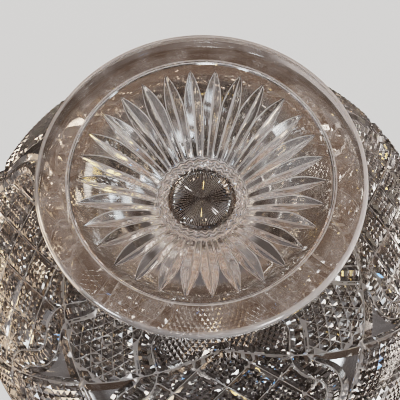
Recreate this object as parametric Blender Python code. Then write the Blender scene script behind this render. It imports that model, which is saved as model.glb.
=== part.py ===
"""Cut-glass punch bowl that lifts off its own glass stand.

Metres, +Z up. The stand's foot rests on z = 0 and both pieces are turned about the Z axis.
The bowl's round peg drops into the stand's bore and its flat shoulder sits on the stand's seat.
"""

import math

import bmesh
import bpy
from mathutils import Matrix

# Driving dimensions.
RIM_RADIUS = 0.1525
TOTAL_HEIGHT = 0.160
FOOT_RADIUS = 0.0975
WALL = 0.0085
GAP = 0.0003
CHAMFER = 0.0010

# Stand: a contact ring, a stepped recess, a trumpet-shaped underside cut with rays, a flat hub.
RING_INNER = 0.81 * FOOT_RADIUS
STEP_HEIGHT = 0.0016
EDGE_HEIGHT = 0.0080
EDGE_ROUND = 0.0026
RAY_COUNT = 30
RAY_TURN = math.radians(3)
RAY_TIP = 0.75 * FOOT_RADIUS
RAY_WIDEST = 0.54 * FOOT_RADIUS
RAY_DEPTH_PER_WIDTH = 0.26
HUB_RADIUS = 0.0275
HUB_HEIGHT = 0.0275
BORE_RADIUS = 0.0200
BORE_CHAMFER = 0.0010
DOME_POWER = 1.75
SEAT_HEIGHT = 0.0460
SEAT_RADIUS = 0.0385
NECK_RADIUS = 0.0350
NECK_HEIGHT = 0.0375
TOP_POWER = 2.2

# Bowl: a quarter ellipse that turns upright at its widest circle.
WIDEST_HEIGHT = 0.134
BOWL_LOWEST = 0.0445
FLOOR_THICKNESS = 0.0115
PEG_RADIUS = BORE_RADIUS - 0.0006
PEG_BOTTOM = 0.0285
PEG_CHAMFER = 0.0015
SHOULDER_RADIUS = 0.0410
SCALLOPS = 16
SCALLOP_DEPTH = 0.0035

# Mesh density.
STAND_STEPS = 2 * RAY_COUNT
BOWL_STEPS = 4 * SCALLOPS
SAME_POINT = 0.0001
SMOOTH_ANGLE = math.radians(32)


def clear_scene():
    for old in list(bpy.data.objects):
        bpy.data.objects.remove(old, do_unlink=True)


def glass(name, tint, roughness):
    material = bpy.data.materials.new(name)
    material.use_nodes = True
    shader = material.node_tree.nodes["Principled BSDF"]
    shader.inputs["Base Color"].default_value = (*tint, 1.0)
    shader.inputs["Roughness"].default_value = roughness
    shader.inputs["Metallic"].default_value = 0.0
    shader.inputs["Transmission Weight"].default_value = 1.0
    shader.inputs["IOR"].default_value = 1.55
    return material


def spaced(start, end, count):
    """Evenly spaced values from start to end, both included."""
    return [start + (end - start) * i / (count - 1) for i in range(count)]


def arc(centre_r, centre_z, radius, start_deg, end_deg, count):
    angles = [math.radians(a) for a in spaced(start_deg, end_deg, count)]
    return [(centre_r + radius * math.cos(a), centre_z + radius * math.sin(a)) for a in angles]


def spin_profile(profile, steps, closed):
    """Turn a profile of (radius, height) points about the Z axis."""
    bm = bmesh.new()
    verts = [bm.verts.new((r, 0.0, z)) for r, z in profile]
    ends = verts[1:] + verts[:1] if closed else verts[1:]
    edges = [bm.edges.new(pair) for pair in zip(verts, ends)]
    bmesh.ops.spin(
        bm, geom=verts + edges, cent=(0, 0, 0), axis=(0, 0, 1), dvec=(0, 0, 0),
        angle=2 * math.pi, steps=steps, use_duplicate=False,
    )
    bmesh.ops.remove_doubles(bm, verts=bm.verts, dist=0.000001)
    bmesh.ops.recalc_face_normals(bm, faces=bm.faces)
    return bm


def finish_object(bm, name, material):
    mesh = bpy.data.meshes.new(name)
    bm.to_mesh(mesh)
    bm.free()
    mesh.shade_smooth()
    mesh.set_sharp_from_angle(angle=SMOOTH_ANGLE)
    mesh.materials.append(material)
    obj = bpy.data.objects.new(name, mesh)
    bpy.context.collection.objects.link(obj)
    return obj


# Stand

def underside_height(radius):
    """Height of the uncut trumpet between the step and the flat hub."""
    share = (RING_INNER - radius) / (RING_INNER - HUB_RADIUS)
    return STEP_HEIGHT + (HUB_HEIGHT - STEP_HEIGHT) * max(share, 0.0) ** DOME_POWER


def top_height(radius):
    """Height of the foot's upper side, which sweeps up into the neck."""
    share = (FOOT_RADIUS - radius) / (FOOT_RADIUS - NECK_RADIUS)
    return EDGE_HEIGHT + (NECK_HEIGHT - EDGE_HEIGHT) * share ** TOP_POWER


def ray_cut(radius, angle):
    """Depth of the V cut of the nearest ray: rays touch inside RAY_WIDEST and end in points."""
    if radius < HUB_RADIUS + SAME_POINT or radius >= RAY_TIP:
        return 0.0
    pitch = 2 * math.pi / RAY_COUNT
    across = abs((angle + pitch / 2) % pitch - pitch / 2)
    share = min(1.0, (RAY_TIP - radius) / (RAY_TIP - RAY_WIDEST))
    half_width = pitch / 2 * share
    if across >= half_width:
        return 0.0
    return RAY_DEPTH_PER_WIDTH * 2 * half_width * radius * (1 - across / half_width)


def stand_profile():
    """Closed outline: down the bore, out along the underside, round the edge, back to the seat."""
    bore = [
        (BORE_RADIUS + CHAMFER, SEAT_HEIGHT), (BORE_RADIUS, SEAT_HEIGHT - CHAMFER),
        (BORE_RADIUS, HUB_HEIGHT + BORE_CHAMFER), (BORE_RADIUS + BORE_CHAMFER, HUB_HEIGHT),
    ]
    ray_radii = spaced(HUB_RADIUS, RAY_WIDEST, 8) + spaced(RAY_WIDEST, RAY_TIP, 5)[1:]
    underside = [(r, underside_height(r)) for r in ray_radii]
    step = [(RING_INNER - STEP_HEIGHT, STEP_HEIGHT), (RING_INNER, 0.0)]
    edge_centre = FOOT_RADIUS - EDGE_ROUND
    edge = arc(edge_centre, EDGE_ROUND, EDGE_ROUND, -90, 0, 4)
    edge += arc(edge_centre, EDGE_HEIGHT - EDGE_ROUND, EDGE_ROUND, 0, 90, 4)
    top = [(r, top_height(r)) for r in spaced(edge_centre, NECK_RADIUS, 8)[1:]]
    seat = [
        (SEAT_RADIUS, SEAT_HEIGHT - 2 * CHAMFER), (SEAT_RADIUS, SEAT_HEIGHT - CHAMFER),
        (SEAT_RADIUS - CHAMFER, SEAT_HEIGHT),
    ]
    return bore + underside + step + edge + top + seat


def make_stand(material):
    bm = spin_profile(stand_profile(), STAND_STEPS, closed=True)
    for vert in bm.verts:
        radius = math.hypot(vert.co.x, vert.co.y)
        if abs(vert.co.z - underside_height(radius)) < SAME_POINT:
            vert.co.z += ray_cut(radius, math.atan2(vert.co.y, vert.co.x))
    bmesh.ops.rotate(bm, verts=bm.verts, cent=(0, 0, 0), matrix=Matrix.Rotation(RAY_TURN, 3, "Z"))
    return finish_object(bm, "stand", material)


# Bowl

def wall_curve(radius, lowest, start_radius, count):
    """Quarter ellipse from start_radius out to the widest circle."""
    start = math.asin(start_radius / radius) if start_radius > 0 else 0.0
    drop = WIDEST_HEIGHT - lowest
    angles = spaced(start, math.pi / 2, count)
    return [(radius * math.sin(a), WIDEST_HEIGHT - drop * math.cos(a)) for a in angles]


def bowl_profile():
    shoulder = SEAT_HEIGHT + GAP
    outer = [
        (0.0, PEG_BOTTOM), (PEG_RADIUS - PEG_CHAMFER, PEG_BOTTOM),
        (PEG_RADIUS, PEG_BOTTOM + PEG_CHAMFER), (PEG_RADIUS, shoulder),
        (SHOULDER_RADIUS - CHAMFER, shoulder),
    ]
    outer += wall_curve(RIM_RADIUS, BOWL_LOWEST, SHOULDER_RADIUS, 12)
    lip_radius = WALL / 2
    lip_z = TOTAL_HEIGHT - lip_radius
    outer.append((RIM_RADIUS, (WIDEST_HEIGHT + lip_z) / 2))
    lip = arc(RIM_RADIUS - lip_radius, lip_z, lip_radius, 0, 180, 7)
    inner_radius = RIM_RADIUS - WALL
    inner = wall_curve(inner_radius, BOWL_LOWEST + FLOOR_THICKNESS, 0.0, 12)
    inner.append((inner_radius, (WIDEST_HEIGHT + lip_z) / 2))
    return outer + lip + list(reversed(inner))


def scallop_drop(angle):
    """How far the rim dips below its highest points: arches that meet in cusps."""
    return SCALLOP_DEPTH * (1 - abs(math.cos(angle * SCALLOPS / 2)))


def make_bowl(material):
    bm = spin_profile(bowl_profile(), BOWL_STEPS, closed=False)
    for vert in bm.verts:
        share = (vert.co.z - WIDEST_HEIGHT) / (TOTAL_HEIGHT - WIDEST_HEIGHT)
        if share > 0:
            vert.co.z -= share * scallop_drop(math.atan2(vert.co.y, vert.co.x))
    return finish_object(bm, "bowl", material)


def main():
    clear_scene()
    make_stand(glass("stand_glass", (0.93, 0.92, 0.90), 0.03))
    make_bowl(glass("bowl_glass", (0.94, 0.94, 0.93), 0.02))


main()
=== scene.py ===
import math

import bpy
import numpy as np
from mathutils import Matrix, Vector
from mathutils.geometry import delaunay_2d_cdt


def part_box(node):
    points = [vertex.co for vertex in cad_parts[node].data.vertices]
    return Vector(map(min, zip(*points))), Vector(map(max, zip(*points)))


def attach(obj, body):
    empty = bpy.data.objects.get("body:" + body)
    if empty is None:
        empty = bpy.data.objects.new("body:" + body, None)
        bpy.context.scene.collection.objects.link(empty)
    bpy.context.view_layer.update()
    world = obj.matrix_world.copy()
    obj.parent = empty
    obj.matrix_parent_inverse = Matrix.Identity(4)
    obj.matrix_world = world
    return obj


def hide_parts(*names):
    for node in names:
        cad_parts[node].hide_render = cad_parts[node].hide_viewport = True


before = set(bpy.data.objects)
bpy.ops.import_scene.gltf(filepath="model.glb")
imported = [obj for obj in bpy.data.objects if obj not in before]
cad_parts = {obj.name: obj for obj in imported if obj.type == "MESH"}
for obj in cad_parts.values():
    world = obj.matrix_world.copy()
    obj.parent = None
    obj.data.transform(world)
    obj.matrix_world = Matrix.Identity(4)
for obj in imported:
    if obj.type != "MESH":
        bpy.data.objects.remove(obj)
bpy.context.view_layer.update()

standLow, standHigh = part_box("stand")
bowlLow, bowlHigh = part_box("bowl")
footRadius = standHigh.x
seatHeight = standHigh.z
rimRadius = bowlHigh.x
rimHeight = bowlHigh.z
pegBottom = bowlLow.z


# camera: under the foot and a little in front of it, with the back of the bowl uppermost
viewpoint = dict(
    place=(0.0, -0.3802, -0.8049),
    back=(-0.0013, -0.4143, -0.9102),
    up=(-0.0412, 0.9094, -0.4139),
    lens=137.7,
)


def makeCamera(values):
    data = bpy.data.cameras.new("camera")
    data.lens = values["lens"]
    data.sensor_width = 36
    camera = bpy.data.objects.new("camera", data)
    bpy.context.scene.collection.objects.link(camera)
    back = Vector(values["back"]).normalized()
    right = Vector(values["up"]).cross(back).normalized()
    up = back.cross(right)
    turn = Matrix((right, up, back)).transposed()
    camera.matrix_world = Matrix.Translation(values["place"]) @ turn.to_4x4()
    bpy.context.scene.camera = camera


makeCamera(viewpoint)
print("camera placed")


# shader writing: a socket that can be added, multiplied and compared
class Wire:
    def __init__(self, tree, socket):
        self.tree = tree
        self.socket = socket

    def maths(self, operation, a, b):
        return addWire(self.tree, "ShaderNodeMath", dict(operation=operation), s0=a, s1=b)

    def __add__(self, other):
        return self.maths("ADD", self, other)

    def __radd__(self, other):
        return self.maths("ADD", other, self)

    def __sub__(self, other):
        return self.maths("SUBTRACT", self, other)

    def __rsub__(self, other):
        return self.maths("SUBTRACT", other, self)

    def __mul__(self, other):
        return self.maths("MULTIPLY", self, other)

    def __rmul__(self, other):
        return self.maths("MULTIPLY", other, self)

    def __pow__(self, other):
        return self.maths("POWER", self, other)

    def __gt__(self, other):
        return self.maths("GREATER_THAN", self, other)

    def __lt__(self, other):
        return self.maths("LESS_THAN", self, other)


def addNode(tree, kind, settings=None, **sockets):
    # a socket is named with _ for each space, or by its number as s0, s1 ...
    node = tree.nodes.new(kind)
    for name, value in (settings or {}).items():
        setattr(node, name, value)
    for name, value in sockets.items():
        numbered = name[1:].isdigit()
        socket = node.inputs[int(name[1:]) if numbered else name.replace("_", " ")]
        if isinstance(value, Wire):
            tree.links.new(value.socket, socket)
        else:
            socket.default_value = value
    return node


def addWire(tree, kind, settings=None, output=0, **sockets):
    return Wire(tree, addNode(tree, kind, settings, **sockets).outputs[output])


def mixColours(tree, factor, first, second):
    return addWire(tree, "ShaderNodeMix", dict(data_type="RGBA"), 2, s0=factor, s6=first, s7=second)


def noise(tree, place, scale, detail):
    return addWire(tree, "ShaderNodeTexNoise", Vector=place, Scale=scale, Detail=detail)


def ramp(tree, value, start, end, kind="SMOOTHSTEP"):
    # 0 up to start, 1 from end on
    return addWire(
        tree, "ShaderNodeMapRange", dict(interpolation_type=kind), Value=value, From_Min=start, From_Max=end,
    )


def between(value, limits):
    return (value > limits[0]) * (value < limits[1])


def newMaterial(name):
    material = bpy.data.materials.new(name)
    material.use_nodes = True
    tree = material.node_tree
    tree.nodes.clear()
    return material, tree


def showMixed(tree, factor, first, second):
    mixed = addWire(tree, "ShaderNodeMixShader", s0=factor, s1=first, s2=second)
    addNode(tree, "ShaderNodeOutputMaterial", Surface=mixed)


# glass: lead crystal, with pale frosted lines on the crests and in the beds of its cuts: painted highlights
# standing in for light on their rounded edges
crystal = dict(
    ior=1.56, lustre=1.9, tint=(0.87, 0.85, 0.83, 1), deep=(0.76, 0.73, 0.70, 1),
    frostAndHighlight=(0.88, 0.84, 0.83, 1), dust=0.012, crestHighlight=0.12, bedHighlight=0.09, highlightLineVeil=0.62,
)
# painted shade: the bowl takes a darker copy of the same crystal, so that light crossing many facets inside
# it fades to dark
paintedShadeCrystal = dict(
    ior=1.56, lustre=2.2, tint=(0.56, 0.54, 0.52, 1), deep=(0.40, 0.38, 0.36, 1),
    frostAndHighlight=(0.90, 0.86, 0.83, 1), dust=0.010, crestHighlight=0.05, bedHighlight=0.04, highlightLineVeil=0.30,
)
polish = dict(
    cloudScale=34.0, smooth=0.004, dull=0.02, dullAbove=0.62, rippleScale=120.0,
    reliefStrength=0.05, reliefDepth=0.0004, coatRough=0.01, frostRough=0.55,
)

# the foot's worn places and painted light on it: how strong each kind is, and where it lies, in metres off
# the axis or above the table; the band round the rounded edge is made lighter towards the upper left, which
# is painted light
footWearAndPaintedLight = dict(
    edge=1.0, edgeStart=footRadius - 0.0032, edgeEnd=footRadius - 0.0022, edgeTop=0.0034,
    edgeEven=0.50, edgeGrain=0.5, edgePaintedLightLean=4.0,
    crown=0.25, crownReach=(0.0203, 0.0283), crownHeight=(0.020, 0.032),
    ring=0.20, ringTop=0.0004, patchScale=70.0, patches=(0.42, 0.62),
    speck=0.5, speckScale=420.0, speckAbove=0.60,
    scratch=0.35, scratchScale=60.0, scratchStretch=14.0, scratchTurn=0.7, scratchAbove=0.64,
    streaks=34.0, streakRise=26.0, streakDepth=15.0, streakReach=(0.027, 0.074), streakLow=0.003,
)


def splitPlace(tree, place):
    axes = addNode(tree, "ShaderNodeSeparateXYZ", Vector=place)
    x, y, z = (Wire(tree, axes.outputs[k]) for k in range(3))
    return x, y, z, (x * x + y * y) ** 0.5


def rayStreaks(tree, place, wearAndPaintedLight):
    # fine lines along the rays, left by the cutting wheel
    x, y, z, radius = splitPlace(tree, place)
    level = addWire(tree, "ShaderNodeCombineXYZ", X=x, Y=y)
    aim = addWire(tree, "ShaderNodeVectorMath", dict(operation="NORMALIZE"), s0=level)
    turned = addWire(tree, "ShaderNodeVectorMath", dict(operation="SCALE"), s0=aim, Scale=wearAndPaintedLight["streaks"])
    outward = addWire(tree, "ShaderNodeCombineXYZ", Z=radius * wearAndPaintedLight["streakRise"])
    along = addWire(tree, "ShaderNodeVectorMath", dict(operation="ADD"), s0=turned, s1=outward)
    hollow = (z > wearAndPaintedLight["streakLow"]) * between(radius, wearAndPaintedLight["streakReach"])
    return noise(tree, along, 1.0, 2.0) * hollow * wearAndPaintedLight["streakDepth"]


def footScuffsAndPaintedLight(tree, place, wearAndPaintedLight):
    x, y, z, radius = splitPlace(tree, place)
    rim = ramp(tree, radius, wearAndPaintedLight["edgeStart"], wearAndPaintedLight["edgeEnd"])
    grind = noise(tree, place, wearAndPaintedLight["patchScale"], 5.0)
    # pale frosted band round the rounded edge; its lean makes it lighter towards the upper left: painted
    # light
    edge = rim * (z < wearAndPaintedLight["edgeTop"]) * wearAndPaintedLight["edge"]
    edge = edge * (wearAndPaintedLight["edgeEven"] + grind * wearAndPaintedLight["edgeGrain"] + (y - x) * wearAndPaintedLight["edgePaintedLightLean"])
    crown = between(radius, wearAndPaintedLight["crownReach"]) * between(z, wearAndPaintedLight["crownHeight"]) * wearAndPaintedLight["crown"]
    specks = (noise(tree, place, wearAndPaintedLight["speckScale"], 4.0) > wearAndPaintedLight["speckAbove"]) * wearAndPaintedLight["speck"]
    stretched = addWire(
        tree, "ShaderNodeMapping", Vector=place, Rotation=(0, 0, wearAndPaintedLight["scratchTurn"]),
        Scale=(1, wearAndPaintedLight["scratchStretch"], 1),
    )
    scratches = (noise(tree, stretched, wearAndPaintedLight["scratchScale"], 3.0) > wearAndPaintedLight["scratchAbove"]) * wearAndPaintedLight["scratch"]
    patches = ramp(tree, grind, *wearAndPaintedLight["patches"], "LINEAR")
    contact = (z < wearAndPaintedLight["ringTop"]) * (1 - rim) * wearAndPaintedLight["ring"]
    return edge + crown + contact * (specks + scratches + patches)


def makeCutGlass(name, values, wearAndPaintedLight=None):
    material, tree = newMaterial(name)
    place = addWire(tree, "ShaderNodeTexCoord", output="Object")
    share = addWire(
        tree, "ShaderNodeAttribute", dict(attribute_type="GEOMETRY", attribute_name="cutShare"), output="Fac",
    )
    cloud = noise(tree, place, polish["cloudScale"], 3.0)
    relief = noise(tree, place, polish["rippleScale"], 1.0)
    # painted highlight: pale frosted lines where the share marks a crest or a bed, standing in for light on
    # rounded edges; dust adds a little frosting at random
    edges = (share < values["crestHighlight"]) + (share > 1 - values["bedHighlight"])
    dustWearAndPaintedLight = cloud * values["dust"] + edges * values["highlightLineVeil"]
    if wearAndPaintedLight:
        relief = relief + rayStreaks(tree, place, wearAndPaintedLight)
        # the foot also gets its scuffed contact ring and the painted light on its edge band
        dustWearAndPaintedLight = dustWearAndPaintedLight + footScuffsAndPaintedLight(tree, place, wearAndPaintedLight)
    bump = addWire(
        tree, "ShaderNodeBump", Height=relief,
        Strength=polish["reliefStrength"], Distance=polish["reliefDepth"],
    )
    clear = addWire(
        tree, "ShaderNodeBsdfPrincipled", Base_Color=mixColours(tree, cloud, values["deep"], values["tint"]),
        Roughness=(cloud > polish["dullAbove"]) * polish["dull"] + polish["smooth"], Normal=bump,
        IOR=values["ior"], Transmission_Weight=1.0,
        Coat_Weight=1.0, Coat_IOR=values["lustre"], Coat_Roughness=polish["coatRough"],
    )
    # pale frosted surface, used for dust, for the foot's scuffs and for painted highlights and painted light
    paleFrostAndHighlight = addWire(
        tree, "ShaderNodeBsdfPrincipled", Base_Color=values["frostAndHighlight"], Roughness=polish["frostRough"], IOR=1.5,
    )
    showMixed(tree, dustWearAndPaintedLight, clear, paleFrostAndHighlight)
    return material


# the bowl gets the darker, painted-shade copy of the crystal
bowlGlass = makeCutGlass("bowlGlass", paintedShadeCrystal)
standGlass = makeCutGlass("standGlass", crystal, footWearAndPaintedLight)
print("glass mixed")


# mesh helpers
def makePiece(name, points, faces, shares, material, sharpDegrees):
    # shares: 1 in the bed of a cut, 0 on the crest beside it, 0.5 on plain glass; shares near 0, and near 1
    # or past it, get painted highlight lines in the glass
    mesh = bpy.data.meshes.new(name)
    mesh.from_pydata([tuple(p) for p in points], [], faces)
    mesh.attributes.new("cutShare", "FLOAT", "POINT").data.foreach_set("value", np.asarray(shares, float))
    mesh.validate()
    mesh.shade_smooth()
    mesh.set_sharp_from_angle(angle=math.radians(sharpDegrees))
    mesh.materials.append(material)
    piece = bpy.data.objects.new(name, mesh)
    bpy.context.scene.collection.objects.link(piece)
    return piece


def spread(start, end, count):
    return [start + (end - start) * i / (count - 1) for i in range(count)]


def roundPath(centreR, centreZ, radius, startDeg, endDeg, count):
    turns = [math.radians(a) for a in spread(startDeg, endDeg, count)]
    return [(centreR + radius * math.cos(a), centreZ + radius * math.sin(a)) for a in turns]


def ringRow(radius, height, turns):
    radius = np.broadcast_to(radius, turns.shape)
    height = np.broadcast_to(height, turns.shape)
    return np.stack([radius * np.sin(turns), -radius * np.cos(turns), height], 1)


def stripFaces(lower, upper, flip=False):
    count = len(lower)
    faces = []
    for i in range(count):
        j = (i + 1) % count
        face = (lower[i], lower[j], upper[j], upper[i])
        faces.append(face[::-1] if flip else face)
    return faces


# stand: contact ring, step, trumpet-shaped hollow with rays, flat hub round the bore, neck, seat
standShape = dict(
    ringInner=0.81 * footRadius, step=0.0016, edge=0.0080, edgeRound=0.0026,
    rays=30, turn=math.radians(9), rayTip=0.755 * footRadius, rayWidest=0.54 * footRadius, rayInner=0.86,
    raySwell=1.3, raySlope=0.60, hubSlope=0.45, land=0.018, rayBed=0.07, crestEdge=0.0005,
    hubRadius=0.0275, hubHeight=0.0275, hubLift=0.0009, hubFall=0.06, hollowPower=1.75,
    crown=0.0216, crownTeeth=0.0007, crownLift=0.00045, crownRings=5,
    fluteSlope=0.42, fluteEnd=0.64 * footRadius, fluteFade=0.010,
    bore=0.0200, chamfer=0.0010,
    seatRadius=0.0385, neckRadius=0.0350, neckHeight=0.0375, topPower=2.2,
)

# the eight columns of one ray, from bed to crest and back: place across, share of a cut, way a tooth points
halfRay = [standShape["rayBed"], 0.5, 1.0, 1.0]
rayMarks = [1.0, 0.5, 0.0, 0.5, 0.5, 0.0, 0.5, 1.0]
toothMarks = [1.0, 0.1, -1.0, -1.0, -1.0, -1.0, 0.1, 1.0]


def hollowHeight(radius):
    s = standShape
    share = np.clip((s["ringInner"] - radius) / (s["ringInner"] - s["hubRadius"]), 0, None)
    return s["step"] + (s["hubHeight"] - s["step"]) * share ** s["hollowPower"]


def rayWidth(radius):
    # half width of a ray as a share of the spacing; neighbours keep a narrow land between them
    s = standShape
    share = np.clip((s["rayTip"] - radius) / (s["rayTip"] - s["rayWidest"]), 0, 1)
    return np.clip(0.5 * (1 - (1 - share) ** s["raySwell"]), s["land"] / 4, 0.5 - s["land"])


def rayDepth(radius, across):
    s = standShape
    pitch = 2 * math.pi / s["rays"]
    width = rayWidth(radius)
    steep = np.clip((1 - across / width) / (1 - s["rayBed"]), 0, 1)
    outward = np.clip((radius - s["hubRadius"]) / (s["rayWidest"] - s["hubRadius"]), 0, 1)
    slope = s["raySlope"] * (s["hubSlope"] + (1 - s["hubSlope"]) * outward)
    cut = slope * width * pitch * radius * steep
    return np.where(radius < s["rayTip"], cut, 0.0)


def hubHeightAt(radius):
    s = standShape
    return s["hubHeight"] + s["hubLift"] + (s["hubRadius"] - radius) * s["hubFall"]


def hubMeeting(share):
    # radius where a ray's surface at this share of its width runs into the flat hub
    low, high = standShape["bore"], standShape["rayWidest"]
    for _ in range(40):
        middle = (low + high) / 2
        surface = hollowHeight(middle) + rayDepth(middle, share * rayWidth(middle))
        if surface > hubHeightAt(middle):
            low = middle
        else:
            high = middle
    return (low + high) / 2


def rayColumns(radius):
    # angles of all columns at this radius, and how far across its ray each one lies
    s = standShape
    pitch = 2 * math.pi / s["rays"]
    width = float(rayWidth(radius))
    half = [share * width for share in halfRay]
    half[-1] += min(0.45 * (0.5 - width), s["crestEdge"] / (pitch * radius))
    offsets = half + [1 - offset for offset in reversed(half)]
    turns = np.array([(ray + offset) * pitch for ray in range(s["rays"]) for offset in offsets])
    return turns + s["turn"], np.tile(half + half[::-1], s["rays"])


class Turning:
    # rings of points stacked along a closed outline, with their share of a cut
    def __init__(self):
        self.rows = []
        self.shares = []

    def ring(self, radius, height, turns, share=0.5):
        self.rows.append(ringRow(radius, height, turns))
        self.shares.append(np.broadcast_to(share, turns.shape))

    def faces(self):
        count = len(self.rows[0])
        ids = [list(range(k * count, (k + 1) * count)) for k in range(len(self.rows))]
        faces = []
        for k in range(len(ids)):
            faces += stripFaces(ids[k], ids[(k + 1) % len(ids)], flip=True)
        return faces


def turnUnderside(turning):
    # bore, hub with rings of small teeth, then the rays
    s = standShape
    turns, across = rayColumns(s["rayWidest"] * 0.8)
    bore = [
        (s["bore"] + s["chamfer"], seatHeight), (s["bore"], seatHeight - s["chamfer"]),
        (s["bore"], (seatHeight + s["hubHeight"]) / 2),
        (s["bore"], s["hubHeight"] + s["hubLift"] + 1.4 * s["chamfer"]),
    ]
    for radius, height in bore:
        turning.ring(radius, height, turns)
    meeting = [hubMeeting(share) for share in halfRay]
    ends = np.tile(meeting + meeting[::-1], s["rays"])
    teeth = np.tile(toothMarks, s["rays"])
    marks = np.tile(rayMarks, s["rays"])
    turning.ring(s["bore"] + s["chamfer"] * (0.8 + 0.6 * teeth), hubHeightAt(s["bore"]), turns)
    for ring in range(s["crownRings"]):
        share = ring / s["crownRings"]
        radii = s["crown"] + share * (ends - s["crown"]) + s["crownTeeth"] * teeth * (1 - share)
        odd = ring % 2
        lift = s["crownLift"] * (1 - 2 * odd)
        # even rings get a share past 1: painted highlight rings on the crown
        turning.ring(radii, hubHeightAt(radii) + lift, turns, 0.5 if odd else 1.12)
    turning.ring(ends, hubHeightAt(ends), turns, 0.0)
    inner = s["rayWidest"] * s["rayInner"]
    for share in spread(0.06, 1.0, 12):
        radii = ends + (inner - ends) * share
        turning.ring(radii, hollowHeight(radii) + rayDepth(radii, across), turns, marks)
    for radius in spread(inner, s["rayTip"], 17)[1:]:
        turns, across = rayColumns(radius)
        height = hollowHeight(radius) + rayDepth(np.full(turns.shape, radius), across)
        turning.ring(radius, height, turns, marks if radius < s["rayTip"] - 1e-6 else 0.5)


def turnTop(turning, turns):
    # rest of the hollow, step, contact ring and edge, then the fluted sweep up to the seat
    s = standShape
    for radius in spread(s["rayTip"], s["ringInner"] - 1.4 * s["step"], 4)[1:]:
        turning.ring(radius, float(hollowHeight(radius)), turns)
    edgeCentre = footRadius - s["edgeRound"]
    stepRound = 0.45 * s["step"]
    outline = roundPath(s["ringInner"] - 0.3 * s["step"], stepRound, stepRound, 180, 270, 3)
    outline += [(s["ringInner"] + s["step"], 0.0), ((s["ringInner"] + edgeCentre) / 2, 0.0)]
    outline += roundPath(edgeCentre, s["edgeRound"], s["edgeRound"], -90, 0, 6)
    outline += roundPath(edgeCentre, s["edge"] - s["edgeRound"], s["edgeRound"], 0, 90, 6)
    for place, (radius, height) in enumerate(outline):
        # the step's two edges get a share past 1: painted highlight lines
        stepHighlight = place in (0, 2)
        turning.ring(radius, height, turns, 1.15 if stepHighlight else 0.5)
    valley = np.arange(len(turns)) % 2
    flute = s["fluteSlope"] * math.pi / (len(turns) / 2) * valley
    for radius in spread(edgeCentre, s["neckRadius"], 18)[1:]:
        share = (footRadius - radius) / (footRadius - s["neckRadius"])
        height = s["edge"] + (s["neckHeight"] - s["edge"]) * share ** s["topPower"]
        fade = min(1.0, max(0.0, (s["fluteEnd"] - radius) / s["fluteFade"]))
        cut = flute * radius * fade
        turning.ring(radius - 0.55 * cut, height - 0.8 * cut, turns)
    flare = s["seatRadius"] - s["neckRadius"]
    middle = (s["neckHeight"] + seatHeight) / 2
    turning.ring(s["neckRadius"] + 0.35 * flare - 0.8 * flute * s["neckRadius"], middle, turns)
    seat = [
        (s["seatRadius"], seatHeight - 2 * s["chamfer"]), (s["seatRadius"], seatHeight - s["chamfer"]),
        (s["seatRadius"] - s["chamfer"], seatHeight),
    ]
    for radius, height in seat:
        turning.ring(radius, height, turns)


def buildStand():
    turning = Turning()
    turnUnderside(turning)
    count = len(turning.rows[0])
    even = np.arange(count) * 2 * math.pi / count + standShape["turn"]
    turnTop(turning, even)
    points = np.concatenate(turning.rows)
    shares = np.concatenate(turning.shares)
    stand = makePiece("cutStand", points, turning.faces(), shares, standGlass, 17)
    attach(stand, "stand")
    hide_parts("stand")
    return stand


stand = buildStand()
print("stand turned and rayed:", len(stand.data.polygons), "faces")


# bowl: outer wall as a turned blank, then the cuts
bowlShape = dict(
    wall=0.0085, widest=0.134, lowest=0.0445, floor=0.0115, shoulder=0.0410,
    peg=0.0194, pegChamfer=0.0015, seatGap=0.0003, edgeBreak=0.0010,
    scallops=16, scallopDrop=0.0035, teeth=12, toothDrop=0.0013,
    turn=math.radians(-5.625), rimColumns=384, baseColumns=192,
    starRays=48, starRadius=0.0180, starSlope=0.50,
    # radius and steepness of the star's facets under the peg, from outside in
    starFacets=[
        (0.0171, 2.2), (0.0150, 1.3), (0.0128, 0.85), (0.0105, 1.1),
        (0.0082, 0.7), (0.0058, 1.0), (0.0035, 0.6), (0.0012, 0.9),
    ],
)

# cut pattern in millimetres up the wall and degrees round it; one eighth of the bowl, mirrored
cuts = dict(
    # the mitres' and each field's line factors stretch a cut's share, and so set how strong its painted
    # highlight lines are
    eighth=45.0, squash=2.0, bed=0.05, leastCut=0.03, mitreHighlight=1.1, plainGrid=(2.2, 4.0),
    poleToBase=42.0, coneShare=0.88,
    sweepStart=46.0, sweepSlope=0.43, sweepBend=0.01245, sweepHalf=4.0, sweepDepth=3.1,
    ribbonPlace=28.8, ribbonWave=2.6, ribbonLength=46.0, ribbonFull=105.0, ribbonLeast=0.45,
    ribbonMitre=5.2, ribbonHalf=3.2, ribbonDepth=2.6, bead=2.4, beadDepth=1.0,
    baseRing=15.0, rimRing=166.0, ringHalf=1.8, ringDepth=1.3,
    flutes=8, fluteDepth=1.2,
    fields=dict(
        lattice=dict(
            lean=40.0, start=85.0, step=3.2, depth=0.9, every=6, mitreHalf=3.4, mitreDepth=2.6, line=0.8,
        ),
        low=dict(slope=1.65, step=4.6, depth=1.0, line=0.8, at=(0.0, 46.0)),
        cane=dict(slope=2.80, step=13.0, rows=6.5, flat=0.22, depth=2.2, line=1.05, at=(45.0, 84.0)),
        nail=dict(slope=1.75, step=5.6, depth=1.3, line=0.86, at=(45.0, 90.5)),
        top=dict(slope=2.40, step=6.0, depth=1.2, line=0.84, at=(0.0, 166.0)),
    ),
)


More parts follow.
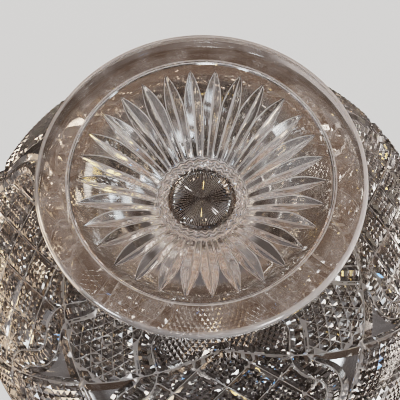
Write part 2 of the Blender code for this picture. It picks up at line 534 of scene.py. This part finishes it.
class Blank:
    # the uncut outside of the bowl, by distance up the wall in millimetres
    def __init__(self):
        b = bowlShape
        start = math.asin(b["shoulder"] / rimRadius)
        turn = np.linspace(start, math.pi / 2, 600)
        radius = rimRadius * np.sin(turn)
        height = b["widest"] - (b["widest"] - b["lowest"]) * np.cos(turn)
        top = rimHeight - b["wall"] / 2
        self.radius = np.append(radius, rimRadius) * 1000
        self.height = np.append(height, top) * 1000
        steps = np.hypot(np.diff(self.radius), np.diff(self.height))
        self.along = np.concatenate([[0], np.cumsum(steps)])
        self.length = float(self.along[-1])

    def at(self, v):
        return np.interp(v, self.along, self.radius), np.interp(v, self.along, self.height)

    def outward(self, v):
        reach = 0.8
        r0, z0 = self.at(np.asarray(v) - reach)
        r1, z1 = self.at(np.asarray(v) + reach)
        length = np.hypot(r1 - r0, z1 - z0)
        return (z1 - z0) / length, -(r1 - r0) / length


blank = Blank()


def perDegree(v):
    return blank.at(v)[0] * math.pi / 180


def sweepAt(phi):
    return cuts["sweepStart"] + cuts["sweepSlope"] * phi + cuts["sweepBend"] * phi ** 2


def sweepRise(phi):
    return cuts["sweepSlope"] + 2 * cuts["sweepBend"] * phi


def sweepGap(phi, v):
    # distance from the long sweep that starts at the star
    return (v - sweepAt(phi)) / np.sqrt(1 + (sweepRise(phi) / perDegree(v)) ** 2)


def ribbonAt(v):
    # the beaded ribbon winds up the wall beside a straight line
    wave = 2 * math.pi / cuts["ribbonLength"]
    return cuts["ribbonPlace"] + cuts["ribbonWave"] * np.cos((v - cuts["sweepStart"]) * wave)


def ribbonLean(v):
    wave = 2 * math.pi / cuts["ribbonLength"]
    drift = -cuts["ribbonWave"] * wave * np.sin((v - cuts["sweepStart"]) * wave)
    return 1 / np.sqrt(1 + (perDegree(v) * drift) ** 2)


def ribbonScale(v):
    return np.clip(blank.at(v)[0] / cuts["ribbonFull"], cuts["ribbonLeast"], 1.0)


def ribbonGap(phi, v):
    # signed distance from the middle of the ribbon, in units where the ribbon has its full width
    return (phi - ribbonAt(v)) * perDegree(v) * ribbonLean(v) / ribbonScale(v)


def groove(distance, half, depth, bed=0.0):
    # a V cut, with a narrow flat bed worn by the edge of the wheel
    return depth * np.clip((1 - np.abs(distance) / half) / (1 - bed), 0, 1)


def leanShare(phi, field, sign):
    # how much a step up the wall moves across slanting lines, with the wall unrolled as a cone
    turn = np.radians(np.asarray(phi) * cuts["coneShare"])
    lean = math.radians(field["lean"])
    return np.cos(turn) * math.cos(lean) + sign * np.sin(turn) * math.sin(lean)


def unrolled(phi, v, field, sign):
    return (v + cuts["poleToBase"]) * leanShare(phi, field, sign)


def rolledUp(value, phi, field, sign):
    return value / leanShare(phi, field, sign) - cuts["poleToBase"]


def weave(phi, v, field, step, half, depth):
    # families of straight grooves that cross: depth of the deepest one
    found = 0.0
    if "lean" in field:
        for sign in (-1, 1):
            value = unrolled(phi, v, field, sign) - field["start"]
            nearest = np.abs((value / step + 0.5) % 1 - 0.5) * step
            found = np.maximum(found, groove(nearest, half(1.0), depth))
        return found
    phi0, v0 = field["at"]
    lean = field["slope"] * (phi - phi0)
    shift = 0.5 if "rows" in field else 0.0
    across = 1 / np.sqrt(1 + (field["slope"] / perDegree(v)) ** 2)
    for value in (v - v0 - lean, v - v0 + lean):
        nearest = np.abs((value / step + 0.5 - shift) % 1 - 0.5) * step
        found = np.maximum(found, groove(nearest * across, half(across), depth))
    if "rows" in field:
        # level grooves as well leave six-sided buttons
        nearest = np.abs(((v - v0) / field["rows"]) % 1 - 0.5) * field["rows"]
        found = np.maximum(found, groove(nearest, (1 - field["flat"]) * field["rows"] / 2, depth))
    return found


def inBand(v):
    return (v > cuts["baseRing"]) & (v < cuts["rimRing"])


def deeper(carved, depth, full, line=1.0):
    # keep the deeper of two cuts, with its share of that cut's full depth, stretched by line; that share sets
    # the painted highlight lines in the glass
    found, share = carved
    wins = depth > found
    counts = wins & (depth > cuts["leastCut"])
    return np.where(wins, depth, found), np.where(counts, 0.5 + (depth / full - 0.5) * line, share)


def carveBig(phi, v):
    c = cuts
    carved = (np.zeros(np.shape(phi)), np.full(np.shape(phi), 0.5))
    for side in (phi, 2 * c["eighth"] - phi):
        depth = groove(sweepGap(side, v), c["sweepHalf"], c["sweepDepth"], c["bed"])
        carved = deeper(carved, depth, c["sweepDepth"])
    gap = ribbonGap(phi, v)
    size = ribbonScale(v)
    mitres = groove(np.abs(gap) - c["ribbonMitre"], c["ribbonHalf"], c["ribbonDepth"], c["bed"]) * size
    carved = deeper(carved, np.where(inBand(v), mitres, 0), c["ribbonDepth"] * size)
    for ring in (c["baseRing"], c["rimRing"]):
        carved = deeper(carved, groove(v - ring, c["ringHalf"], c["ringDepth"]), c["ringDepth"])
    return carved


def bigCuts(phi, v):
    return carveBig(phi, v)[0]


def fieldMask(name, phi, v):
    c = cuts
    gap = ribbonGap(phi, v)
    edge = c["ribbonMitre"]
    inside = gap < -edge
    outside = gap > edge
    lower = v < sweepAt(phi)
    upper = v > sweepAt(2 * c["eighth"] - phi)
    zones = dict(
        lattice=inside & ~lower & ~upper, low=inside & lower, cane=outside & lower,
        nail=outside & upper, top=inside & upper,
    )
    return zones[name] & inBand(v)


def fieldDepth(name, phi, v):
    field = cuts["fields"][name]
    step = field["step"]
    halfStep = (1 - field.get("flat", 0)) * step / 2
    fine = weave(phi, v, field, step, lambda across: halfStep * across, field["depth"])
    if "every" in field:
        wide = step * field["every"]
        deep = weave(phi, v, field, wide, lambda across: field["mitreHalf"], field["mitreDepth"])
        fine = np.maximum(fine, deep)
    return fine


def fluteCut(phi, v):
    step = cuts["eighth"] / cuts["flutes"]
    nearest = np.abs((phi / step) % 1 - 0.5) * 2
    fade = np.clip(np.minimum(v / 3, (cuts["baseRing"] - v) / 4), 0, 1)
    return cuts["fluteDepth"] * nearest * fade


def carve(phi, v):
    # depth of the deepest cut at each place, and how far into that cut the place lies
    c = cuts
    carved = carveBig(phi, v)
    for name, field in c["fields"].items():
        depth = np.where(fieldMask(name, phi, v), fieldDepth(name, phi, v), 0)
        mitred = depth > field["depth"] * 1.001
        full = np.where(mitred, field.get("mitreDepth", field["depth"]), field["depth"])
        carved = deeper(carved, depth, full, np.where(mitred, c["mitreHighlight"], field["line"]))
    strip = np.abs(ribbonGap(phi, v)) < c["ribbonMitre"] - c["ribbonHalf"]
    nearest = np.abs((v / c["bead"] + 0.5) % 1 - 0.5) * 2
    beads = np.where(strip & inBand(v), c["beadDepth"] * (1 - nearest), 0)
    carved = deeper(carved, beads, c["beadDepth"])
    return deeper(carved, np.where(v < c["baseRing"], fluteCut(phi, v), 0), c["fluteDepth"])


def cutDepth(phi, v):
    return carve(phi, v)[0]


def isPlain(phi, v):
    clear = cutDepth(phi, v) <= 0
    for dp, dv in ((-0.6, 0), (0.6, 0), (0, -1.2), (0, 1.2)):
        clear = clear & (cutDepth(phi + dp, v + dv) <= 0)
    return clear


class Sketch:
    # points and lines of one eighth of the bowl, laid flat
    def __init__(self):
        self.points = []
        self.edges = []

    def add(self, phi, v):
        self.points.append(Vector((phi * cuts["squash"], v)))
        return len(self.points) - 1

    def line(self, phis, vs):
        phis = np.asarray(phis, float)
        vs = np.asarray(vs, float)
        good = (phis >= 0) & (phis <= cuts["eighth"]) & (vs > 0.4) & (vs < blank.length - 0.4)
        last = None
        for phi, v, use in zip(phis, vs, good):
            here = self.add(phi, v) if use else None
            if here is not None and last is not None:
                self.edges.append((last, here))
            last = here


def clippedLine(sketch, inside, phis, vs, samples=220):
    # keep the stretches of a straight line that lie inside, with their ends found by halving
    def at(share):
        return phis[0] + (phis[1] - phis[0]) * share, vs[0] + (vs[1] - vs[0]) * share

    share = np.linspace(0, 1, samples)
    keep = inside(*at(share))

    def meet(good, bad):
        for _ in range(24):
            middle = (good + bad) / 2
            if inside(*[np.array([x]) for x in at(middle)])[0]:
                good = middle
            else:
                bad = middle
        return good

    start = None
    for i in range(samples):
        if keep[i] and start is None:
            start = meet(share[i], share[i - 1]) if i else share[0]
        if start is not None and (i == samples - 1 or not keep[i + 1]):
            end = meet(share[i], share[i + 1]) if i < samples - 1 else share[i]
            if end - start > 1e-4:
                (p0, v0), (p1, v1) = at(start), at(end)
                sketch.edges.append((sketch.add(p0, v0), sketch.add(p1, v1)))
            start = None


def curvedLine(sketch, inside, phis, vs):
    # a polyline, kept where it lies inside
    keep = inside(phis, vs)
    last = None
    for phi, v, use in zip(phis, vs, keep):
        here = sketch.add(phi, v) if use else None
        if here is not None and last is not None:
            sketch.edges.append((last, here))
        last = here


def drawLattice(sketch, field, inside):
    phis = np.linspace(0, cuts["eighth"], 46)
    step = field["step"]
    reach = range(-44, 60)          # lines enough to cross the whole panel
    for sign in (-1, 1):
        for k in reach:
            curvedLine(sketch, inside, phis, rolledUp(field["start"] + k * step, phis, field, sign))
    lean = math.radians(field["lean"])
    halves = [(k + 0.5) * step for k in reach]
    a, b = np.meshgrid(halves, halves)
    x = (2 * field["start"] + a + b) / 2 / math.cos(lean)
    y = (a - b) / 2 / math.sin(lean)
    phi = np.degrees(np.arctan2(y, x)) / cuts["coneShare"]
    v = np.hypot(x, y) - cuts["poleToBase"]
    good = inside(phi, v) & (bigCuts(phi, v) < 0.02)
    for p, q in zip(phi[good], v[good]):
        sketch.add(p, q)


def drawField(sketch, name):
    field = cuts["fields"][name]
    eighth = cuts["eighth"]

    def inside(phi, v):
        ok = (phi >= 0) & (phi <= eighth) & (v > 0.5) & (v < blank.length - 0.5)
        return ok & fieldMask(name, phi, v) & (bigCuts(phi, v) < field["depth"])

    if "lean" in field:
        drawLattice(sketch, field, inside)
        return
    phi0, v0 = field["at"]
    reach = int(180 / field["step"]) + 40
    shift = 0.5 if "rows" in field else 0.0
    for sign in (-1, 1):
        for k in range(-reach, reach):
            low = v0 + (k + shift) * field["step"] + sign * field["slope"] * (0 - phi0)
            high = v0 + (k + shift) * field["step"] + sign * field["slope"] * (eighth - phi0)
            if max(low, high) < 0 or min(low, high) > blank.length:
                continue
            clippedLine(sketch, inside, (0, eighth), (low, high))
    if "rows" in field:
        drawButtons(sketch, field, inside)
        return
    halves = [(k + 0.5) * field["step"] for k in range(-reach, reach)]
    a, b = np.meshgrid(halves, halves)
    v = v0 + (a + b) / 2
    phi = phi0 + (b - a) / (2 * field["slope"])
    good = inside(phi, v) & (bigCuts(phi, v) < 0.02)
    for p, q in zip(phi[good], v[good]):
        sketch.add(p, q)


def drawButtons(sketch, field, inside):
    # the flat corners of each button, its middle, and the small points between buttons
    phi0, v0 = field["at"]
    cornerReach = field["flat"] * field["rows"] / 2 * 1.155
    reach = int(90 / field["rows"])
    for k in range(-reach, reach):
        level = v0 + (k + 0.5) * field["rows"]
        clippedLine(sketch, inside, (0, cuts["eighth"]), (level, level))
    pitch = field["step"] / field["slope"]
    for k in range(-reach, reach):
        for m in range(-14, 15):
            phi = phi0 + (m + 0.5 * (k % 2)) * pitch
            v = v0 + k * field["rows"]
            if not inside(np.array([phi]), np.array([v]))[0]:
                continue
            sketch.add(phi, v)
            for rise in (-1 / 3, 1 / 3):
                p, q = phi + pitch / 2, v + rise * field["rows"]
                if inside(np.array([p]), np.array([q]))[0] and bigCuts(p, q) < 0.02:
                    sketch.add(p, q)
            for corner in range(6):
                turn = math.radians(60 * corner + 30)
                p = phi + cornerReach * math.cos(turn) / perDegree(v)
                q = v + cornerReach * math.sin(turn)
                if 0 <= p <= cuts["eighth"] and bigCuts(p, q) < 0.02:
                    sketch.add(p, q)


def drawBigCuts(sketch):
    c = cuts
    phis = np.linspace(-6, 96, 86)
    bed = c["bed"]
    for share in (-1, -bed, bed, 1):
        offset = share * c["sweepHalf"]
        v = sweepAt(phis)
        lean = sweepRise(phis) / perDegree(v)
        size = np.sqrt(1 + lean ** 2)
        shiftedPhi = phis - offset * lean / size / perDegree(v)
        shiftedV = v + offset / size
        sketch.line(shiftedPhi, shiftedV)
        sketch.line(2 * c["eighth"] - shiftedPhi, shiftedV)
    vs = np.arange(c["baseRing"], c["rimRing"] + 0.1, c["bead"] / 2)
    for side in (-1, 1):
        for share in (-1, -bed, bed, 1):
            gap = side * (c["ribbonMitre"] + share * c["ribbonHalf"])
            sketch.line(ribbonAt(vs) + gap * ribbonScale(vs) / (perDegree(vs) * ribbonLean(vs)), vs)
    inner = c["ribbonMitre"] - c["ribbonHalf"]
    for v in vs[1:-1]:
        reach = inner * ribbonScale(v) / (perDegree(v) * ribbonLean(v))
        if bigCuts(ribbonAt(v), v) < c["beadDepth"]:
            sketch.line([ribbonAt(v) - reach, ribbonAt(v) + reach], [v, v])
    for ring in (c["baseRing"], c["rimRing"]):
        for offset in (0, -c["ringHalf"], c["ringHalf"]):
            sketch.line(np.linspace(0, c["eighth"], 37), np.full(37, ring + offset))
    step = c["eighth"] / c["flutes"] / 2
    for k in range(0, 2 * c["flutes"] + 1):
        sketch.line(np.full(4, k * step), [0.6, 3.0, c["baseRing"] - 4, c["baseRing"] - c["ringHalf"]])


def drawEdges(sketch):
    eighth = cuts["eighth"]
    for v, columns in ((0.0, bowlShape["baseColumns"]), (blank.length, bowlShape["rimColumns"])):
        last = None
        for phi in np.linspace(0, eighth, columns // 8 + 1):
            here = sketch.add(phi, v)
            if last is not None:
                sketch.edges.append((last, here))
            last = here
    for phi in (0.0, eighth):
        sketch.edges.append((sketch.add(phi, 0.0), sketch.add(phi, blank.length)))


def drawPlain(sketch):
    # a loose grid of points keeps the uncut glass round
    wide, high = cuts["plainGrid"]
    phi, v = np.meshgrid(np.arange(wide / 2, cuts["eighth"], wide), np.arange(3.0, blank.length - 1.5, high))
    clear = isPlain(phi, v)
    for p, q in zip(phi[clear], v[clear]):
        sketch.add(p, q)


def scallop(turns):
    wave = np.cos((turns - bowlShape["turn"]) * bowlShape["scallops"] / 2)
    return bowlShape["scallopDrop"] * (1 - np.abs(wave))


def lowerRim(points, turns):
    share = np.clip((points[:, 2] - bowlShape["widest"]) / (rimHeight - bowlShape["widest"]), 0, 1)
    points[:, 2] -= share * scallop(turns)
    return points


def wallPoints(phi, v, turns):
    radius, height = blank.at(v)
    outR, outZ = blank.outward(v)
    depth = np.where(atEnds(v), 0, cutDepth(phi, v))
    radius = (radius - depth * outR) / 1000
    height = (height - depth * outZ) / 1000
    points = np.stack([radius * np.sin(turns), -radius * np.cos(turns), height], 1)
    return lowerRim(points, turns)


def atEnds(v):
    return (v < 0.01) | (v > blank.length - 0.01)


def drawPattern():
    sketch = Sketch()
    drawEdges(sketch)
    drawBigCuts(sketch)
    for name in cuts["fields"]:
        drawField(sketch, name)
    drawPlain(sketch)
    print("pattern drawn:", len(sketch.points), "points")
    flat, _, triangles, _, _, _ = delaunay_2d_cdt(sketch.points, sketch.edges, [], 0, 1e-4)
    flat = np.array([tuple(p) for p in flat])
    phi = np.clip(flat[:, 0] / cuts["squash"], 0, cuts["eighth"])
    v = np.clip(flat[:, 1], 0, blank.length)
    return phi, v, [tuple(t) for t in triangles]


def columnAt(way, columns):
    return round((way % 360) * columns / 360) % columns


def wrapPattern(points, shares, faces):
    # lay the eighth round the bowl eight times, every second time mirrored; gives the two edges
    b = bowlShape
    phi, v, triangles = drawPattern()
    share = np.where(isPlain(phi, v) | atEnds(v), 0.5, carve(phi, v)[1])
    onSeam = (phi < 1e-6) | (phi > cuts["eighth"] - 1e-6)
    known = {}
    base = {}
    rim = {}
    for quarter in range(4):
        for side in (1, -1):
            ways = quarter * 90 + side * phi
            ids = []
            for k, point in enumerate(wallPoints(phi, v, np.radians(ways) + b["turn"])):
                key = (columnAt(ways[k], 8), round(v[k], 5)) if onSeam[k] else None
                if key in known:
                    ids.append(known[key])
                else:
                    ids.append(len(points))
                    points.append(point)
                    shares.append(share[k])
                    if key:
                        known[key] = ids[-1]
                if v[k] < 1e-6:
                    base[columnAt(ways[k], b["baseColumns"])] = ids[-1]
                if v[k] > blank.length - 1e-6:
                    rim[columnAt(ways[k], b["rimColumns"])] = ids[-1]
            for t in triangles:
                face = tuple(ids[k] for k in t)
                faces.append(face if side == 1 else face[::-1])
    return [base[k] for k in range(b["baseColumns"])], [rim[k] for k in range(b["rimColumns"])]


def buildBowl():
    points = []
    shares = []
    faces = []
    base, rim = wrapPattern(points, shares, faces)
    addPeg(points, shares, faces, base)
    addInside(points, faces, rim)
    shares += [0.5] * (len(points) - len(shares))
    bowl = makePiece("cutBowl", points, faces, shares, bowlGlass, 14)
    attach(bowl, "bowl")
    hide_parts("bowl")
    return bowl


def addRow(points, row):
    first = len(points)
    points.extend(row)
    return list(range(first, first + len(row)))


def addPeg(points, shares, faces, base):
    b = bowlShape
    turns = np.arange(b["baseColumns"]) * 2 * math.pi / b["baseColumns"] + b["turn"]
    shoulder = seatHeight + b["seatGap"]
    outline = [
        (b["shoulder"] - b["edgeBreak"], shoulder), (0.5 * (b["shoulder"] + b["peg"]), shoulder),
        (b["peg"], shoulder), (b["peg"], (shoulder + pegBottom) / 2), (b["peg"], pegBottom + b["pegChamfer"]),
        (b["peg"] - b["pegChamfer"], pegBottom), (b["starRadius"], pegBottom),
    ]
    perRay = b["baseColumns"] // b["starRays"]
    share = np.abs(((np.arange(b["baseColumns"]) / perRay + 0.5) % 1) - 0.5) * 2
    last = base
    for radius, height in outline:
        ids = addRow(points, ringRow(radius, height, turns))
        faces += stripFaces(last, ids, flip=True)
        last = ids
    for radius, steep in b["starFacets"]:
        cut = b["starSlope"] * steep * radius * math.pi / b["starRays"] * (1 - share)
        ids = addRow(points, ringRow(radius, pegBottom + cut + 0.0001, turns))
        # the star's shares are stretched more towards its rim, so its painted highlight lines grow stronger
        # outward
        line = 1.0 + 0.5 * (radius / b["starRadius"]) ** 3
        shares += [0.5] * (ids[0] - len(shares)) + list(0.5 + (share - 0.5) * line)
        faces += stripFaces(last, ids, flip=True)
        last = ids
    centre = addRow(points, [np.array([0, 0, pegBottom + 0.0002])])[0]
    count = len(last)
    faces += [(last[(i + 1) % count], last[i], centre) for i in range(count)]


def addInside(points, faces, rim):
    b = bowlShape
    turns = np.arange(b["rimColumns"]) * 2 * math.pi / b["rimColumns"] + b["turn"]
    lip = b["wall"] / 2
    lipHeight = rimHeight - lip
    inner = rimRadius - b["wall"]
    outline = roundPath(rimRadius - lip, lipHeight, lip, 0, 180, 9)[1:]
    outline.append((inner, (b["widest"] + lipHeight) / 2))
    lowest = b["lowest"] + b["floor"]
    for turn in spread(math.pi / 2, 0.02, 26):
        outline.append((inner * math.sin(turn), b["widest"] - (b["widest"] - lowest) * math.cos(turn)))
    tooth = np.abs(((turns - b["turn"]) * b["scallops"] * b["teeth"] / (2 * math.pi)) % 1 - 0.5) * 2
    last = rim
    for radius, height in outline:
        row = lowerRim(ringRow(radius, height, turns), turns)
        lift = np.clip((height - lipHeight) / lip, 0, 1)
        row[:, 2] -= lift * b["toothDrop"] * tooth
        ids = addRow(points, row)
        faces += stripFaces(last, ids)
        last = ids
    centre = addRow(points, [np.array([0, 0, lowest])])[0]
    count = len(last)
    faces += [(last[i], last[(i + 1) % count], centre) for i in range(count)]


bowl = buildBowl()
print("bowl cut:", len(bowl.data.polygons), "faces")


# studio: pale floor under the foot and pale board above the rim, both plain
studio = dict(
    floor=(0.80, 0.785, 0.765, 1), matt=(0.05, 0.05, 0.05, 1), shade=0.94, glow=1.0, size=3.0, gap=0.0006,
    dusk=(0.036, 0.029, 0.025, 1), room=(0.30, 0.268, 0.256, 1), backdrop=(0.78, 0.77, 0.76, 1),
    duskTop=-0.35, roomBottom=0.12,
)


def makeBoard(name, height, facesUp, colour):
    half = studio["size"] / 2
    corners = [(-half, -half, height), (half, -half, height), (half, half, height), (-half, half, height)]
    mesh = bpy.data.meshes.new(name)
    mesh.from_pydata(corners, [], [(0, 1, 2, 3) if facesUp else (3, 2, 1, 0)])
    board = bpy.data.objects.new(name, mesh)
    bpy.context.scene.collection.objects.link(board)
    material, tree = newMaterial(name)
    place = addWire(tree, "ShaderNodeTexCoord", output="Object")
    dim = tuple(studio["shade"] * c for c in colour[:3]) + (1,)
    shade = mixColours(tree, noise(tree, place, 5.0, 4.0), dim, colour)
    paint = addWire(
        tree, "ShaderNodeBsdfPrincipled", Base_Color=studio["matt"], Roughness=0.9,
        Emission_Color=shade, Emission_Strength=studio["glow"],
    )
    clear = addWire(tree, "ShaderNodeBsdfTransparent")
    back = addWire(tree, "ShaderNodeNewGeometry", output="Backfacing")
    showMixed(tree, back, paint, clear)
    mesh.materials.append(material)
    board.visible_transmission = False
    board.visible_glossy = False
    board.visible_diffuse = False
    board.visible_shadow = False
    return board


makeBoard("floor", -studio["gap"], True, studio["floor"])
makeBoard("board", rimHeight + studio["gap"], False, studio["floor"])


# light: each lamp is (direction it comes from, width in degrees, softness, colour, strength)
lamps = [
    ((0.00, 0.95, -0.22), 36, 18, (1.0, 0.90, 0.88), 0.12),
    ((0.00, -0.85, -0.42), 32, 20, (1.0, 0.92, 0.92), 0.20),
    ((0.00, 0.43, -0.90), 20, 14, (1.0, 0.67, 0.50), 0.39),
    ((-0.37, 0.64, -0.67), 16, 10, (1.0, 0.77, 0.64), 0.27),
    ((0.37, 0.64, -0.67), 16, 10, (1.0, 0.73, 0.58), 0.20),
    ((0.00, -0.41, -0.91), 16, 14, (1.0, 0.80, 0.70), 0.04),
    ((-0.37, -0.64, -0.67), 15, 8, (0.95, 0.96, 1.0), 0.045),
    ((-0.74, 0.00, -0.67), 12, 8, (1.0, 0.90, 0.78), 0.55),
    ((0.37, -0.64, -0.67), 14, 8, (0.98, 0.97, 1.0), 0.62),
    ((0.74, 0.00, -0.67), 12, 8, (1.0, 0.93, 0.88), 0.30),
    ((-0.93, 0.24, -0.28), 11, 8, (1.0, 0.86, 0.78), 0.09),
    ((-0.93, -0.24, -0.26), 11, 8, (1.0, 0.94, 0.94), 0.46),
    ((0.93, 0.24, -0.28), 11, 8, (1.0, 0.86, 0.78), 0.09),
    ((0.93, -0.24, -0.26), 11, 8, (1.0, 0.94, 0.94), 0.46),
    ((0.92, 0.05, 0.38), 16, 10, (1.0, 0.74, 0.54), 1.7),
    ((-0.92, 0.05, 0.38), 16, 10, (1.0, 0.93, 0.88), 2.2),
    ((-0.45, 0.70, 0.28), 10, 8, (1.0, 0.93, 0.92), 0.6),
    ((-0.84, -0.22, -0.50), 1, 6, (0.88, 0.95, 1.0), 5.0),
    ((-0.50, -0.82, -0.28), 3, 5, (1.0, 0.99, 0.97), 10.0),
    ((0.10, -0.85, -0.50), 2, 5, (0.95, 0.98, 1.0), 10.0),
    ((-0.75, -0.45, -0.48), 0.5, 4, (0.85, 0.93, 1.0), 9.0),
    ((0.45, -0.75, -0.48), 0.5, 4, (0.85, 0.93, 1.0), 9.0),
    ((0.60, -0.19, -0.78), 1, 6, (1.0, 0.97, 0.94), 6.0),
    ((0.84, 0.22, -0.50), 2, 5, (1.0, 0.80, 0.60), 6.0),
    ((0.75, -0.62, -0.25), 3, 5, (0.94, 0.97, 1.0), 9.0),
    ((-0.45, 0.40, -0.80), 1, 5, (1.0, 0.90, 0.80), 6.0),
    ((0.45, 0.90, 0.15), 4, 4, (1.0, 0.78, 0.62), 9.0),
    ((-0.90, 0.40, 0.18), 4, 4, (1.0, 0.93, 0.86), 9.0),
    ((0.95, 0.20, 0.18), 3, 3, (1.0, 0.72, 0.40), 9.0),
    ((-0.30, -0.94, 0.12), 4, 3, (1.0, 0.90, 0.80), 9.0),
    ((0.30, -0.80, 0.50), 4, 4, (0.90, 0.96, 1.0), 9.0),
    ((-0.70, 0.35, -0.62), 1, 3, (1.0, 0.70, 0.28), 9.0),
    ((-0.35, -0.60, -0.72), 0.5, 2, (0.22, 0.50, 1.0), 9.0),
]


def makeLight():
    world = bpy.data.worlds.new("studioLight")
    bpy.context.scene.world = world
    world.use_nodes = True
    tree = world.node_tree
    tree.nodes.clear()
    way = addWire(tree, "ShaderNodeTexCoord", output="Generated")
    height = addWire(tree, "ShaderNodeSeparateXYZ", output="Z", Vector=way)
    rise = ramp(tree, height, studio["duskTop"], studio["roomBottom"])
    sky = mixColours(tree, rise, studio["room"], studio["dusk"])
    for direction, width, soft, colour, strength in lamps:
        aim = Vector(direction).normalized()
        dot = addWire(
            tree, "ShaderNodeVectorMath", dict(operation="DOT_PRODUCT"), output="Value", s0=way, s1=aim,
        )
        outer, inner = (math.cos(math.radians(angle)) for angle in (width + soft, width))
        glow = tuple(strength * c for c in colour) + (1,)
        sky = mixColours(tree, ramp(tree, dot, outer, inner), sky, glow)
    seen = addWire(tree, "ShaderNodeLightPath", output="Is Camera Ray")
    sky = mixColours(tree, seen, sky, studio["backdrop"])
    back = addWire(tree, "ShaderNodeBackground", Color=sky)
    addNode(tree, "ShaderNodeOutputWorld", Surface=back)


makeLight()
cycles = bpy.context.scene.cycles
cycles.max_bounces = 28          # light crosses many facets before it leaves the bowl
cycles.transmission_bounces = 24
cycles.glossy_bounces = 12
cycles.caustics_reflective = True
cycles.caustics_refractive = True
cycles.filter_width = 1.1
bpy.context.scene.view_settings.view_transform = "Filmic"
bpy.context.scene.view_settings.look = "High Contrast"
print("studio lit")
